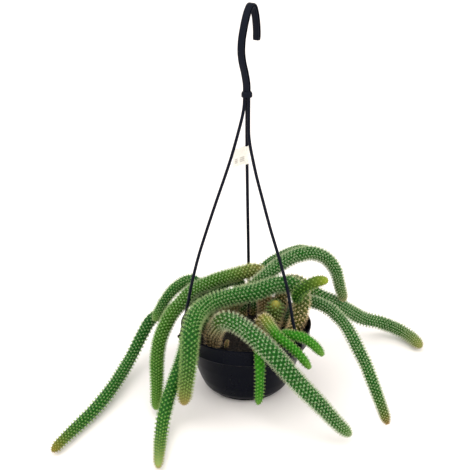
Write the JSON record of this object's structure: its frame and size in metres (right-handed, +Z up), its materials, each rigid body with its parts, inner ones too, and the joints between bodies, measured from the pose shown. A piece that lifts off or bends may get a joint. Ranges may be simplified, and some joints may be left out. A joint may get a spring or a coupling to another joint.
{
  "type": "potted cactus",
  "caption": "Trailing cactus with long white-bristled stems that spill over a black plastic hanging pot with a hook hanger, standing on its base.",
  "frame": {"origin": "centre of the underside of the pot's base, on the surface that it stands on", "axes": "+Z up towards the hook, +X to the viewer's right, +Y away from the viewer of the picture"},
  "size_m": [0.4003, 0.2964, 0.4169],
  "materials": {
    "pot_plastic": "satin",
    "soil": "matte",
    "hanger_plastic": "satin",
    "paper": "matte",
    "green_stem": "matte",
    "young_stem": "matte",
    "old_stem": "matte"
  },
  "bodies": {
    "root": {"pot": "pot_plastic", "soil": "soil", "hanger_hook": "hanger_plastic", "strand_left": "hanger_plastic", "strand_front": "hanger_plastic", "strand_back": "hanger_plastic", "tag": "paper", "stem_left_far": "green_stem", "stem_left_back": "green_stem", "stem_left_middle": "green_stem", "stem_left_front": "green_stem", "stem_front_main": "green_stem", "stem_front_right": "green_stem", "stem_right_back": "green_stem", "stem_right_front": "green_stem", "stem_back_arch": "green_stem", "stem_back_low": "green_stem", "stem_front_short": "young_stem", "shoot_right_low": "young_stem", "shoot_right_high": "young_stem", "stem_bud": "young_stem", "stem_stub": "old_stem"}
  },
  "joints": []
}
